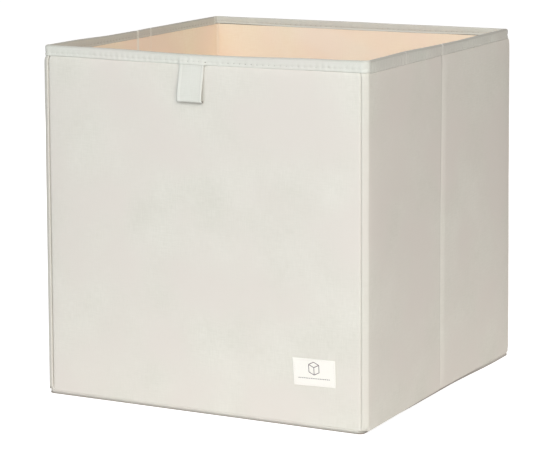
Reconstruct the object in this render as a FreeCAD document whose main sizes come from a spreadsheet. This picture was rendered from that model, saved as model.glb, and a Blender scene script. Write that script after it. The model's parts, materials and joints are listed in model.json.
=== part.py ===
"""Collapsible fabric storage bin.

A 13 inch cube. Four stiffened walls stand on a base cloth. The right and left walls have an upright
crease and fold inwards, so the front wall moves straight back and the bin lies flat against its
back wall. A stiff base insert is hinged along the foot of the back wall and flips up out of the way
first. A folded tape loop under the front rim is the pull tab.

Frame: millimetres, +Z up, the origin on the floor under the middle of the bin, the front towards
-Y and the right wall towards +X. Every wall is a sandwich: outer cover, board, lining.
"""
import FreeCAD, Part
import Sketcher
import math
import os

DIMENSIONS = (
    ("width", 330.0, "outside of the left wall to outside of the right wall"),
    ("depth", 330.0, "outside of the front wall to outside of the back wall"),
    ("height", 330.0, "floor to the top of the rim"),
    ("cover_thickness", 0.5, "outer cloth of a wall"),
    ("board_thickness", 2.0, "stiffener inside a wall"),
    ("lining_thickness", 0.5, "inner cloth of a wall"),
    ("binding_height", 9.5, "rim binding, top to lower edge, outside and inside"),
    ("binding_thickness", 0.5, "tape of the rim binding over the top of the board"),
    ("strip_width", 6.5, "corner strip, measured along the front or back wall"),
    ("strip_depth", 3.9, "how far the corner strip slopes back at the corner"),
    ("crease_gap", 0.15, "half the gap between the two covers at a side wall's crease"),
    ("board_margin", 2.5, "board edge back from the crease and from the corner"),
    ("base_cloth_thickness", 0.5, "outer cloth under the bin"),
    ("insert_board_thickness", 1.8, "stiffener inside the base insert"),
    ("insert_cloth_thickness", 0.4, "cloth on each face of the base insert"),
    ("insert_hem", 3.0, "sewn edge of the base insert beyond its board"),
    ("insert_side_gap", 1.0, "base insert to the walls"),
    ("insert_corner_cut", 5.0, "front corners of the base insert, cut off to clear the seams"),
    ("fold_gap", 0.3, "slack between the raised base insert and the linings on both sides of it"),
    ("floor_gap", 0.2, "base cloth to the underside of the base insert"),
    ("running_gap", 0.3, "between pieces that fold past each other"),
    ("tab_width", 25.0, "pull tab, along the rim"),
    ("tab_length", 33.0, "pull tab, rim binding to the bottom of its fold"),
    ("tab_tape", 0.9, "tape of the pull tab"),
    ("tab_root", 5.0, "length at the top where the two layers are sewn together"),
    ("tab_fold_radius", 3.6, "outside radius of the fold at the bottom of the loop"),
    ("tab_offset", -7.0, "middle of the pull tab from the middle of the front"),
    ("label_width", 42.0, "sewn patch on the front"),
    ("label_height", 26.0, "sewn patch on the front"),
    ("label_thickness", 0.5, "sewn patch on the front"),
    ("label_x", 113.5, "middle of the patch from the middle of the front"),
    ("label_z", 50.5, "middle of the patch above the floor"),
)

# Lengths that follow from the table, as expressions for FreeCAD to work out.
HALF_WIDTH = "Dims.width / 2"
HALF_DEPTH = "Dims.depth / 2"
WALL = "(Dims.cover_thickness + Dims.board_thickness + Dims.lining_thickness)"
INSERT = "(Dims.insert_board_thickness + 2 * Dims.insert_cloth_thickness)"
INSIDE_X = f"({HALF_WIDTH} - {WALL})"
INSIDE_Y = f"({HALF_DEPTH} - {WALL})"
# The raised insert stands between the back wall and the folded side walls, so each corner seam
# bridges its thickness and some slack on both of its faces. The corner folds turn there.
INSERT_REAR = f"({INSIDE_Y} - Dims.fold_gap)"
HINGE_Y = f"({INSERT_REAR} - {INSERT} - Dims.fold_gap)"
CORNER_REACH = f"({HINGE_Y} + Dims.running_gap)"
INSERT_FOOT = "(Dims.base_cloth_thickness + Dims.floor_gap)"
INSERT_TOP = f"({INSERT_FOOT} + {INSERT})"
WALL_FOOT = f"({INSERT_TOP} + Dims.running_gap)"
RIM_EDGE = "(Dims.height - Dims.binding_height)"
BOARD_TOP = "(Dims.height - Dims.binding_thickness)"
STRIP_X = f"({HALF_WIDTH} - Dims.strip_width)"

doc = FreeCAD.newDocument("fabric_storage_bin")
sub_parts = []


def make_sheet():
    """Put the driving dimensions in the spreadsheet, one aliased cell each."""
    sheet = doc.addObject("Spreadsheet::Sheet", "Dims")
    for row, (alias, size, note) in enumerate(DIMENSIONS, start=1):
        sheet.set(f"A{row}", alias)
        sheet.set(f"B{row}", str(size))
        sheet.setAlias(f"B{row}", alias)
        sheet.set(f"C{row}", note)
    doc.recompute()
    return sheet


def span(side, near, far):
    """Limits from near to far of the middle plane, on its +1 side or its -1 side."""
    return (near, far) if side > 0 else (f"-({far})", f"-({near})")


def centred(middle, size):
    """Limits of a length centred on a place."""
    return f"{middle} - {size} / 2", f"{middle} + {size} / 2"


def slab(label, x, y, z):
    """A flat layer between two limits on each axis."""
    box = doc.addObject("Part::Box", label)
    box.Label = label
    for size, axis, (low, high) in (("Length", "x", x), ("Width", "y", y), ("Height", "z", z)):
        box.setExpression(size, f"({high}) - ({low})")
        box.setExpression(f"Placement.Base.{axis}", low)
    sub_parts.append(box)


def new_body(label):
    """A PartDesign body that is one sub-part."""
    body = doc.addObject("PartDesign::Body", label)
    body.Label = label
    sub_parts.append(body)
    return body


def new_sketch(body, name, plane, offset):
    """A sketch on one of the body's own planes, moved along that plane's axes by expressions."""
    sketch = body.newObject("Sketcher::SketchObject", f"{body.Name}_{name}")
    sketch.AttachmentSupport = [(f, "") for f in body.Origin.OriginFeatures if f.Role == plane]
    sketch.MapMode = "FlatFace"
    for axis, value in offset.items():
        sketch.setExpression(f"AttachmentOffset.Base.{axis}", value)
    return sketch


def pin(sketch, geometry, point, x, y):
    """Hold a point of a sketch at a place given by two expressions."""
    for kind, value in (("DistanceX", x), ("DistanceY", y)):
        index = sketch.addConstraint(Sketcher.Constraint(kind, geometry, point, 1.0))
        sketch.setExpression(f"Constraints[{index}]", value)


def draw_outline(sketch, corners):
    """A closed run of straight lines through the corners, drawn on a circle and then pinned."""
    count = len(corners)
    turn = [2 * math.pi * i / count for i in range(count)]
    places = [FreeCAD.Vector(math.cos(a), math.sin(a), 0) for a in turn]
    for i in range(count):
        sketch.addGeometry(Part.LineSegment(places[i], places[(i + 1) % count]), False)
    for i, (x, y) in enumerate(corners):
        sketch.addConstraint(Sketcher.Constraint("Coincident", i, 2, (i + 1) % count, 1))
        pin(sketch, i, 1, x, y)


def pad_outline(body, corners, z):
    """Raise an outline in plan from the lower to the upper limit of z."""
    sketch = new_sketch(body, "outline", "XY_Plane", {"z": z[0]})
    draw_outline(sketch, corners)
    pad = body.newObject("PartDesign::Pad", f"{body.Name}_pad")
    pad.Profile = sketch
    pad.setExpression("Length", f"({z[1]}) - ({z[0]})")


def pocket_rectangle(body, x, y, z):
    """Cut a rectangular space upwards from the lower limit of z, and see that it cut something."""
    doc.recompute()
    before = body.Shape.Volume
    sketch = new_sketch(body, "space", "XY_Plane", {"z": z[0]})
    draw_outline(sketch, [(x[0], y[0]), (x[1], y[0]), (x[1], y[1]), (x[0], y[1])])
    pocket = body.newObject("PartDesign::Pocket", f"{body.Name}_pocket")
    pocket.Profile = sketch
    pocket.Reversed = True
    pocket.setExpression("Length", f"({z[1]}) - ({z[0]})")
    doc.recompute()
    if body.Shape.Volume >= before:
        raise RuntimeError(f"{body.Label}: the pocket cut nothing")


def wall_layers(name, place, cover, board, lining):
    """The cover, board and lining of one panel; place turns limits across the wall into a slab."""
    layers = (
        ("cover", cover, "0", "Dims.cover_thickness", RIM_EDGE),
        ("board", board, "Dims.cover_thickness",
         "(Dims.cover_thickness + Dims.board_thickness)", BOARD_TOP),
        ("lining", lining, "(Dims.cover_thickness + Dims.board_thickness)", WALL, RIM_EDGE),
    )
    for layer, along, outer, inner, top in layers:
        x, y = place(along, outer, inner)
        slab(f"{name}_{layer}", x, y, (WALL_FOOT, top))


def end_wall(name, side):
    """The front (-1) or back (+1) wall: layers, rim binding and a strip at each corner."""
    along = (f"-{STRIP_X}", STRIP_X)

    def place(limits, outer, inner):
        return limits, span(side, f"{HALF_DEPTH} - {inner}", f"{HALF_DEPTH} - {outer}")

    wall_layers(name, place, along, along, along)

    def outward(y):
        return y if side > 0 else f"-({y})"

    binding = new_body(f"{name}_rim_binding")
    half = [(HALF_WIDTH, HALF_DEPTH), (HALF_WIDTH, CORNER_REACH), (INSIDE_X, CORNER_REACH),
            (INSIDE_X, INSIDE_Y)]
    corners = half + [(f"-({x})", y) for x, y in reversed(half)]
    pad_outline(binding, [(x, outward(y)) for x, y in corners], (RIM_EDGE, "Dims.height"))
    slot_y = span(side, f"{INSIDE_Y} + Dims.lining_thickness",
                  f"{HALF_DEPTH} - Dims.cover_thickness")
    pocket_rectangle(binding, along, slot_y, (RIM_EDGE, BOARD_TOP))

    for hand, sign in (("right", 1), ("left", -1)):
        strip = new_body(f"{name}_{hand}_corner_strip")
        corners = [(STRIP_X, HALF_DEPTH), (HALF_WIDTH, f"{HALF_DEPTH} - Dims.strip_depth"),
                   (HALF_WIDTH, CORNER_REACH), (INSIDE_X, CORNER_REACH), (INSIDE_X, INSIDE_Y),
                   (STRIP_X, INSIDE_Y)]
        corners = [(x if sign > 0 else f"-({x})", outward(y)) for x, y in corners]
        pad_outline(strip, corners, (WALL_FOOT, RIM_EDGE))


def side_half(hand, sign, end, side):
    """Half of the right (+1) or left (-1) wall, from its crease to the rear (+1) or front (-1)."""
    name = f"{hand}_{end}"
    cloth = span(side, "Dims.crease_gap", HINGE_Y)
    board = span(side, "Dims.board_margin", f"{HINGE_Y} - Dims.board_margin")

    def place(limits, outer, inner):
        return span(sign, f"{HALF_WIDTH} - {inner}", f"{HALF_WIDTH} - {outer}"), limits

    wall_layers(name, place, cloth, board, cloth)

    binding = new_body(f"{name}_rim_binding")
    x = span(sign, INSIDE_X, HALF_WIDTH)
    pad_outline(binding, [(x[0], cloth[0]), (x[1], cloth[0]), (x[1], cloth[1]), (x[0], cloth[1])],
                (RIM_EDGE, "Dims.height"))
    slot_x = span(sign, f"{INSIDE_X} + Dims.lining_thickness",
                  f"{HALF_WIDTH} - Dims.cover_thickness")
    pocket_rectangle(binding, slot_x, board, (RIM_EDGE, BOARD_TOP))


def base():
    """The outer cloth on the floor and the welt that joins it to the feet of the walls."""
    quarter = [(HALF_WIDTH, f"{HALF_DEPTH} - Dims.strip_depth"), (STRIP_X, HALF_DEPTH)]
    back = quarter + [(f"-({x})", y) for x, y in reversed(quarter)]
    corners = back + [(x, f"-({y})") for x, y in reversed(back)]
    pad_outline(new_body("base_cloth"), corners, ("0", "Dims.base_cloth_thickness"))
    welt = new_body("base_welt")
    pad_outline(welt, corners, ("Dims.base_cloth_thickness", INSERT_TOP))
    pocket_rectangle(welt, (f"-{INSIDE_X}", INSIDE_X), (f"-{INSIDE_Y}", INSIDE_Y),
                     ("Dims.base_cloth_thickness", INSERT_TOP))


def base_insert():
    """The stiff floor of the bin: a board between two cloths, hinged at the foot of the back."""
    def outline(hem):
        side = f"({INSIDE_X} - Dims.insert_side_gap - {hem})"
        rear = f"({INSERT_REAR} - {hem})"
        front = f"({INSIDE_Y} - Dims.insert_side_gap - {hem})"
        half = [(side, rear), (side, f"-({front} - Dims.insert_corner_cut)"),
                (f"{side} - Dims.insert_corner_cut", f"-{front}")]
        return half + [(f"-({x})", y) for x, y in reversed(half)]

    board_foot = f"({INSERT_FOOT} + Dims.insert_cloth_thickness)"
    board_top = f"({board_foot} + Dims.insert_board_thickness)"
    pad_outline(new_body("insert_under_cloth"), outline("0"), (INSERT_FOOT, board_foot))
    pad_outline(new_body("insert_board"), outline("Dims.insert_hem"), (board_foot, board_top))
    pad_outline(new_body("insert_top_cloth"), outline("0"), (board_top, INSERT_TOP))


def loop_profile(sketch, first, start, close, radius):
    """One teardrop of the pull tab: down the wall side, round the fold, up the front to close.

    start and close are the numbers and expressions of the two top points, as (x, y, x_is, y_is),
    and radius is the fold's number and expression. first is the number of the teardrop's first
    line; its arc and its front line follow it.
    """
    fold_height = sheet.tab_length - sheet.tab_fold_radius
    middle = FreeCAD.Vector(-sheet.tab_fold_radius, -fold_height, 0)
    arc_start = middle + FreeCAD.Vector(radius[0], 0, 0)
    arc_end = middle - FreeCAD.Vector(radius[0], 0, 0)
    sketch.addGeometry(Part.LineSegment(FreeCAD.Vector(*start[:2], 0), arc_start), False)
    circle = Part.Circle(middle, FreeCAD.Vector(0, 0, 1), radius[0])
    sketch.addGeometry(Part.ArcOfCircle(circle, math.pi, 2 * math.pi), False)
    sketch.addGeometry(Part.LineSegment(arc_end, FreeCAD.Vector(*close[:2], 0)), False)
    wall_line, fold, front_line = first, first + 1, first + 2
    sketch.addConstraint(Sketcher.Constraint("Coincident", wall_line, 2, fold, 2))
    sketch.addConstraint(Sketcher.Constraint("Horizontal", wall_line, 2, fold, 3))
    sketch.addConstraint(Sketcher.Constraint("Tangent", fold, 1, front_line, 1))
    index = sketch.addConstraint(Sketcher.Constraint("Radius", fold, radius[0]))
    sketch.setExpression(f"Constraints[{index}]", radius[1])
    pin(sketch, wall_line, 1, *start[2:])
    pin(sketch, fold, 3, "-Dims.tab_fold_radius", "-(Dims.tab_length - Dims.tab_fold_radius)")
    pin(sketch, front_line, 2, *close[2:])


def pull_tab():
    """A tape folded into a teardrop loop, hanging from the lower edge of the front rim binding."""
    body = new_body("pull_tab")
    offset = {"x": f"-({HALF_DEPTH} + Dims.running_gap)", "y": RIM_EDGE,
              "z": "Dims.tab_offset - Dims.tab_width / 2"}
    tape, root = sheet.tab_tape, sheet.tab_root
    shoulder = (-2 * tape, -root, "-2 * Dims.tab_tape", "-Dims.tab_root")
    inner_top = (-tape, -root, "-Dims.tab_tape", "-Dims.tab_root")
    outer_radius = (sheet.tab_fold_radius, "Dims.tab_fold_radius")
    inner_radius = (sheet.tab_fold_radius - tape, "Dims.tab_fold_radius - Dims.tab_tape")

    sketch = new_sketch(body, "section", "YZ_Plane", offset)
    loop_profile(sketch, 0, (0, 0, "0", "0"), shoulder, outer_radius)
    sketch.addGeometry(Part.LineSegment(FreeCAD.Vector(-2 * tape, -root, 0),
                                        FreeCAD.Vector(-2 * tape, 0, 0)), False)
    sketch.addGeometry(Part.LineSegment(FreeCAD.Vector(-2 * tape, 0, 0),
                                        FreeCAD.Vector(0, 0, 0)), False)
    for end, start in ((2, 3), (3, 4), (4, 0)):
        sketch.addConstraint(Sketcher.Constraint("Coincident", end, 2, start, 1))
    pin(sketch, 3, 2, "-2 * Dims.tab_tape", "0")
    loop_profile(sketch, 5, inner_top, inner_top, inner_radius)
    pad = body.newObject("PartDesign::Pad", "pull_tab_pad")
    pad.Profile = sketch
    pad.setExpression("Length", "Dims.tab_width")


def check_document():
    """Stop if any object failed, or any sub-part has no valid solid."""
    doc.recompute()
    for thing in doc.Objects:
        if "Invalid" in thing.State or "Error" in thing.State:
            raise RuntimeError(f"{thing.Label}: {thing.State}")
    for part in sub_parts:
        if part.Shape.isNull() or not part.Shape.isValid() or not part.Shape.Solids:
            raise RuntimeError(f"{part.Label} has no valid solid")


def export_parts():
    """Write one STEP file for each sub-part, named by its label."""
    os.makedirs("parts", exist_ok=True)
    for part in sub_parts:
        part.Shape.exportStep(f"parts/{part.Label}.step")
        box = part.Shape.BoundBox
        print(f"{part.Label:28s} solids {len(part.Shape.Solids)}  volume {part.Shape.Volume:10.1f}"
              f"  x {box.XMin:7.2f} {box.XMax:7.2f}  y {box.YMin:7.2f} {box.YMax:7.2f}"
              f"  z {box.ZMin:6.2f} {box.ZMax:6.2f}")


sheet = make_sheet()
end_wall("back", 1)
end_wall("front", -1)
for hand, sign in (("right", 1), ("left", -1)):
    for end, side in (("rear", 1), ("front", -1)):
        side_half(hand, sign, end, side)
base()
base_insert()
slab("label_patch", centred("Dims.label_x", "Dims.label_width"),
     (f"-{HALF_DEPTH} - Dims.label_thickness", f"-{HALF_DEPTH}"),
     centred("Dims.label_z", "Dims.label_height"))
pull_tab()
check_document()
export_parts()
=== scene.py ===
# %% [markdown]
# # A fabric storage bin
#
# This notebook dresses a collapsible fabric bin: a cube of cloth over stiff boards, open at the
# top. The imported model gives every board, layer and hinge, so nothing is moved here. Each layer
# of cloth is made again as a thin surface with the fullness, puckers and folds that sewing
# gives it. The boards stay as they are, because they are flat sheets of board in life as well.

import json
import math

import bmesh
import bpy
import numpy as np
from mathutils import Matrix, Vector


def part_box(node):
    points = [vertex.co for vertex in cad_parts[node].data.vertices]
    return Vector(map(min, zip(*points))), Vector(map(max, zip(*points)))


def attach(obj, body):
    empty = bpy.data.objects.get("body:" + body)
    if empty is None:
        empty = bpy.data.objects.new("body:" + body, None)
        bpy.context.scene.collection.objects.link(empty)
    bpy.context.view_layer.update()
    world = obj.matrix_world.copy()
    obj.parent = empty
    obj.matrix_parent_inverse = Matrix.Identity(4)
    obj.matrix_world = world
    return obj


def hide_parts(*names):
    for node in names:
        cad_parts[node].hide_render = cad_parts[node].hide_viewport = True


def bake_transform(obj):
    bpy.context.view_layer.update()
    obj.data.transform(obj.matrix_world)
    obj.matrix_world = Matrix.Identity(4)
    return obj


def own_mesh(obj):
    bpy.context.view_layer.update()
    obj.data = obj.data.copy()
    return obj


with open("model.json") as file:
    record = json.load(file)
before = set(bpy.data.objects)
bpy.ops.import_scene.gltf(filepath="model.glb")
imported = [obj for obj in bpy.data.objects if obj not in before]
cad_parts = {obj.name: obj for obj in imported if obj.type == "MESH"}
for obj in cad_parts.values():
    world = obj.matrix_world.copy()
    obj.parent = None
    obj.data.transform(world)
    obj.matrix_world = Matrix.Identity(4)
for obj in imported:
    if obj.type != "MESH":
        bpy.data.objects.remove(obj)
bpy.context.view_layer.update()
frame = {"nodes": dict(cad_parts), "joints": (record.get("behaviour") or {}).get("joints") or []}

# %% [markdown]
# ## Sizes
# A sewing pattern starts from a few body sizes, and everything else follows from them. Here
# they are read from the imported model's boxes, in millimetres, because cloth, thread and seam
# sizes are easier to judge in millimetres. The only sizes given here are those of the
# cloth and the thread, which the model draws as plain layers.

# %% Sizes of the bin, in millimetres
MM = 0.001


def span(node, axis):
    """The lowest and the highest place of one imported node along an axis, in millimetres."""
    low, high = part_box(node)
    number = "xyz".index(axis)
    return low[number] / MM, high[number] / MM


HALF = span("front_rim_binding", "x")[1]
WALL_FOOT, RIM_EDGE = span("front_cover", "z")
TOP = span("front_rim_binding", "z")[1]
GROOVE = span("front_cover", "x")[1]
BOARD_OUT = span("right_rear_board", "x")[1]
BOARD_IN = span("right_rear_board", "x")[0]
CREASE_EDGE = span("right_rear_board", "y")[0]
hinges = {joint["name"]: joint["pos_m"] for joint in frame["joints"]}
HINGE_Y = hinges["right_rear_corner_fold"][1] / MM
print(f"half width {HALF:.1f}, rim edge {RIM_EDGE:.1f}, top {TOP:.1f}, hinges at y {HINGE_Y:.1f}")

CLOTH = 0.4
STRIP_DEPTH = 3.9
STITCH_PITCH = 5.8
RIM_STITCH_UP = 2.8
WALL_MIDDLE = (BOARD_OUT + BOARD_IN) / 2
OUTER_FACE = BOARD_OUT + CLOTH
INNER_FACE = BOARD_IN - CLOTH
STRIP_EDGE = HALF - STRIP_DEPTH

# %% [markdown]
# ## Helpers for shapes
# Every soft shape here is a function of two numbers, worked out for a whole grid at once with
# numpy. Three small functions do most of the shaping: a soft step, a fade from an edge, and
# gentle hills for the unevenness that no cloth is without.

# %% Soft steps, fades and hills
LATTICE = 97


def smooth(share):
    """An S-shaped ramp: 0 below 0, 1 above 1, and three squares less two cubes between."""
    share = np.clip(share, 0, 1)
    return share * share * (3 - 2 * share)


def fade(distance, reach):
    """0 at an edge, rising towards 1 away from it: one less e to the minus distance over reach."""
    return 1 - np.exp(-np.clip(distance, 0, None) / reach)


def bell(distance, width):
    """1 at the middle, falling to both sides: e to the minus square of distance over width."""
    return np.exp(-((distance / width) ** 2))


def hills(across, up, pitch_across, pitch_up, seed):
    """Smooth heights from -1 to 1: seeded heights on a lattice of the given pitches, blended."""
    lattice = np.random.default_rng(seed).uniform(-1, 1, (LATTICE, LATTICE))
    column, row = np.broadcast_arrays(across / pitch_across, up / pitch_up)
    left, under = np.floor(column).astype(int), np.floor(row).astype(int)
    share_x, share_y = smooth(column - left), smooth(row - under)

    def corner(right, over):
        return lattice[(left + right) % LATTICE, (under + over) % LATTICE]

    lower = corner(0, 0) + (corner(1, 0) - corner(0, 0)) * share_x
    upper = corner(0, 1) + (corner(1, 1) - corner(0, 1)) * share_x
    return lower + (upper - lower) * share_y


# %% [markdown]
# Cloth turns sharply only at seams and creases. A grid that is fine everywhere would waste
# faces, so the lines of the grid are close together beside each seam and wider apart between.

# %% Grid lines that crowd towards seams
CLOSE_LINES = np.array([0.0, 0.3, 0.6, 1.0, 1.5, 2.2, 3.2, 4.6, 6.6, 9.0])


def lines(low, high, creases=(), step=3.0):
    """Places from low to high: every step, and crowded lines beside both ends and each crease."""
    folds = np.array([low, high, *creases])
    crowded = (folds[:, None, None] + np.outer((-1, 1), CLOSE_LINES)).ravel()
    even = np.linspace(low, high, round((high - low) / step) + 1)
    apart = np.abs(even[:, None] - folds).min(axis=1)
    places = np.concatenate([crowded, even[apart > CLOSE_LINES[-1]]])
    return np.unique(places[(places >= low) & (places <= high)].round(3))


# %% [markdown]
# One function turns a grid of points into a mesh. It also writes a UV map that holds real
# distances over the cloth, in metres, so a weave keeps its size however the cloth is bent.

# %% A grid of points becomes a mesh


def lengths(points):
    """Distance along a row of points, from the first one to each."""
    steps = np.linalg.norm(np.diff(points, axis=0), axis=1)
    return np.concatenate([[0.0], np.cumsum(steps)])


def quads(grid):
    """The four corners of each face, from a table that holds a value at each place of a grid."""
    faces = np.stack([grid[:-1, :-1], grid[:-1, 1:], grid[1:, 1:], grid[1:, :-1]], axis=2)
    return faces.reshape(-1, *faces.shape[2:])


def new_mesh(name, points, faces, uvs):
    """A smooth mesh object from points in millimetres, faces of four corners and their UVs."""
    mesh = bpy.data.meshes.new(name)
    mesh.vertices.add(len(points))
    mesh.vertices.foreach_set("co", (points * MM).astype(np.float32).ravel())
    mesh.loops.add(faces.size)
    mesh.loops.foreach_set("vertex_index", faces.astype(np.int32).ravel())
    mesh.polygons.add(len(faces))
    mesh.polygons.foreach_set("loop_start", np.arange(0, faces.size, 4, dtype=np.int32))
    mesh.update(calc_edges=True)
    mesh.uv_layers.new(name="cloth").data.foreach_set("uv", (uvs * MM).astype(np.float32).ravel())
    mesh.shade_smooth()
    obj = bpy.data.objects.new(name, mesh)
    bpy.context.scene.collection.objects.link(obj)
    return obj


def close_up(obj, change=None):
    """Make one change to a closed mesh, if one is given, and turn its faces outwards."""
    shell = bmesh.new()
    shell.from_mesh(obj.data)
    if change:
        change(shell)
    bmesh.ops.recalc_face_normals(shell, faces=shell.faces)
    shell.to_mesh(obj.data)
    shell.free()


def fill_ends(shell):
    """Fill the open ends of a tube."""
    bmesh.ops.holes_fill(shell, edges=[e for e in shell.edges if e.is_boundary])


def join_ends(shell):
    """Join the two ends of a tube where they meet, which makes it a ring."""
    bmesh.ops.remove_doubles(shell, verts=shell.verts, dist=1e-6)


def surface(name, points, facing=None, round_columns=False, painted_light_and_marks=None, ends=fill_ends):
    """A mesh from a grid of points, rows x columns x 3, with a face between four neighbours.

    An open sheet is turned so that its faces look along facing. round_columns joins the last
    column to the first, which makes a tube; ends closes it, and its faces look out.
    The argument before ends holds how far each point is painted paler, up to 1, or darker, down to
    -1: painted highlight and a few pale marks, and painted shade."""
    rows, columns, _ = points.shape
    order = np.arange(columns + round_columns) % columns
    numbers = np.arange(rows)[:, None] * columns + order
    middle_row, middle_column = points[rows // 2][order], points[:, columns // 2]
    uvs = np.stack(np.meshgrid(lengths(middle_row), lengths(middle_column)), axis=2)
    faces, corners = quads(numbers), quads(uvs)
    flat = points.reshape(-1, 3)
    if facing is not None:
        a, b, d = flat[faces[:, 0]], flat[faces[:, 1]], flat[faces[:, 3]]
        if (np.cross(b - a, d - a) @ np.array(facing, float)).sum() < 0:
            faces, corners = faces[:, ::-1], corners[:, ::-1]
    obj = new_mesh(name, flat, faces, corners)
    if painted_light_and_marks is not None:
        painted_tone = np.broadcast_to(painted_light_and_marks, (rows, columns)).astype(np.float32).ravel()
        obj.data.attributes.new("painted light and pale marks", "FLOAT", "POINT").data.foreach_set("value", painted_tone)
    if round_columns:
        close_up(obj, ends)
    return obj


# %% [markdown]
# Every piece then gets its finish, the body that it moves with, and the plain layers that it
# stands for. Cloth that crosses a crease gets no body; its transform is baked into its mesh.

# %% Dress a piece


def dress(obj, material, slot, body=None, stands_for=(), thickness=None, bends=None):
    """Give a piece its finish, its thickness and its body; a piece that bends gets no body, and its
    transform is baked in.
    """
    obj.data.materials.append(material)
    if thickness:
        wall = obj.modifiers.new("cloth thickness", "SOLIDIFY")
        wall.thickness = thickness * MM
        wall.offset = -1
    if stands_for:
        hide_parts(*stands_for)
    if bends:
        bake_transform(obj)
    else:
        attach(obj, body)
    print(f"{obj.name}: {len(obj.data.polygons)} faces")
    return obj


# %% [markdown]
# ## Camera and light
# The bin was seen from a little above its rim and to the right of its front, with a long lens
# that keeps its upright edges nearly parallel. The light is a white tent with two large soft
# boxes in front, one on each side and both above the rim, and two weak lamps low in front and
# behind. White surroundings show as white, but light the cloth less than that, so its folds
# keep their tone.

# %% Camera
AZIMUTH, ELEVATION, ROLL = (math.radians(angle) for angle in (27.63, 10.64, -0.32))
EYE, LENS = Vector((0.9883, -1.9259, 0.5548)), 153.43
back = Vector((math.sin(AZIMUTH) * math.cos(ELEVATION),
               -math.cos(AZIMUTH) * math.cos(ELEVATION),
               math.sin(ELEVATION)))
level_right = Vector((math.cos(AZIMUTH), math.sin(AZIMUTH), 0))
level_up = back.cross(level_right)
right = math.cos(ROLL) * level_right + math.sin(ROLL) * level_up
up = math.cos(ROLL) * level_up - math.sin(ROLL) * level_right

camera = bpy.data.objects.new("camera", bpy.data.cameras.new("camera"))
camera.data.lens = LENS
camera.matrix_world = Matrix((right, up, back)).transposed().to_4x4()
camera.location = EYE
bpy.context.scene.collection.objects.link(camera)
bpy.context.scene.camera = camera
print("camera", [round(x, 3) for x in EYE], "lens", camera.data.lens)

# %% [markdown]
# Colours are written as sRGB hex values, as a colour picker shows them, and one function turns
# them into the linear values that shaders work in. Another adds a node with its settings and
# links, which keeps each material short enough to read.

# %% Colour and node helpers


def linear(hex_colour):
    """Linear red, green, blue and alpha of an sRGB hex colour."""
    value = np.array([int(hex_colour[at:at + 2], 16) for at in (1, 3, 5)]) / 255
    curve = np.where(value <= 0.04045, value / 12.92, ((value + 0.055) / 1.055) ** 2.4)
    return (*curve.tolist(), 1.0)


def add_node(tree, kind, inputs=None, **settings):
    """Add a shader node. An input is a number or colour to set, or another node's output."""
    node = tree.nodes.new("ShaderNode" + kind)
    for name, value in settings.items():
        setattr(node, name, value)
    for socket, value in (inputs or {}).items():
        if isinstance(value, bpy.types.NodeSocket):
            tree.links.new(value, node.inputs[socket])
        else:
            node.inputs[socket].default_value = value
    return node


def new_material(name):
    """A material with an empty node tree, and that tree."""
    material = bpy.data.materials.new(name)
    material.use_nodes = True
    material.node_tree.nodes.clear()
    return material, material.node_tree


def seen_apart(tree, lighting, seen):
    """A shader that the camera sees as one thing, while another one lights the bin."""
    to_camera = add_node(tree, "LightPath").outputs["Is Camera Ray"]
    return add_node(tree, "MixShader",
                    {0: to_camera, 1: lighting.outputs[0], 2: seen.outputs[0]}).outputs[0]


# %% Lamps and surroundings
TENT_LIGHT, WARM_WHITE, PURE_WHITE = 0.378, "#fffaf7", (1, 1, 1, 1)
world = bpy.data.worlds.new("white tent")
bpy.context.scene.world = world
world.use_nodes = True
world.node_tree.nodes.clear()
lighting = add_node(world.node_tree, "Background",
                    {"Color": linear(WARM_WHITE), "Strength": TENT_LIGHT})
seen = add_node(world.node_tree, "Background", {"Color": PURE_WHITE, "Strength": 1.0})
add_node(world.node_tree, "OutputWorld", {"Surface": seen_apart(world.node_tree, lighting, seen)})


def soft_lamp(name, place, size, power, colour):
    """A square lamp of the given size in metres, aimed at the middle of the bin."""
    lamp = bpy.data.objects.new(name, bpy.data.lights.new(name, "AREA"))
    lamp.data.size, lamp.data.energy, lamp.data.color = size, power, linear(colour)[:3]
    lamp.location = Vector(place)
    aim = Vector((0, 0, HALF * MM)) - lamp.location
    lamp.rotation_euler = aim.to_track_quat("-Z", "Y").to_euler()
    lamp.visible_camera = False
    bpy.context.scene.collection.objects.link(lamp)


soft_lamp("left soft box", (-0.3, -1.9, 1.5), 1.2, 15.4, "#e9f4ff")
soft_lamp("right soft box", (1.5, -1.6, 1.5), 1.2, 33, WARM_WHITE)
soft_lamp("low front lamp", (0.6, -1.5, 0.35), 0.9, 4.3, "#e9f4ff")
soft_lamp("low rear lamp", (-0.9, 1.7, 0.40), 0.7, 11, WARM_WHITE)
bpy.context.scene.view_settings.view_transform = "Standard"

# %% Floor
FLOOR_HALF, FLOOR_DROP, PAPER = 6000.0, 0.1, "#b4b4b4"
POOL_START, POOL_END, POOL_LIGHT, PAPER_WHITE = 200.0, 900.0, 0.51, 0.85
floor_material, tree = new_material("white paper sweep")
spot = add_node(tree, "TexCoord").outputs["Object"]
apart = add_node(tree, "VectorMath", {0: spot}, operation="LENGTH").outputs["Value"]
near = add_node(tree, "MapRange", {
    "Value": apart, "From Min": POOL_START * MM, "From Max": POOL_END * MM,
    "To Min": POOL_LIGHT, "To Max": 0.0}, interpolation_type="SMOOTHSTEP").outputs[0]
bounce, white = (
    add_node(tree, "BsdfPrincipled", {"Base Color": linear(PAPER), "Roughness": 0.9,
                                      "Emission Color": glow, "Emission Strength": strength})
    for glow, strength in ((linear(WARM_WHITE), near), (PURE_WHITE, PAPER_WHITE)))
add_node(tree, "OutputMaterial", {"Surface": seen_apart(tree, bounce, white)})
edge = np.linspace(-FLOOR_HALF, FLOOR_HALF, 3)
floor_x, floor_y = np.meshgrid(edge, edge)
floor = surface("floor", np.stack([floor_x, floor_y, 0 * floor_x - FLOOR_DROP], axis=2), (0, 0, 1))
floor.data.materials.append(floor_material)
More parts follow.
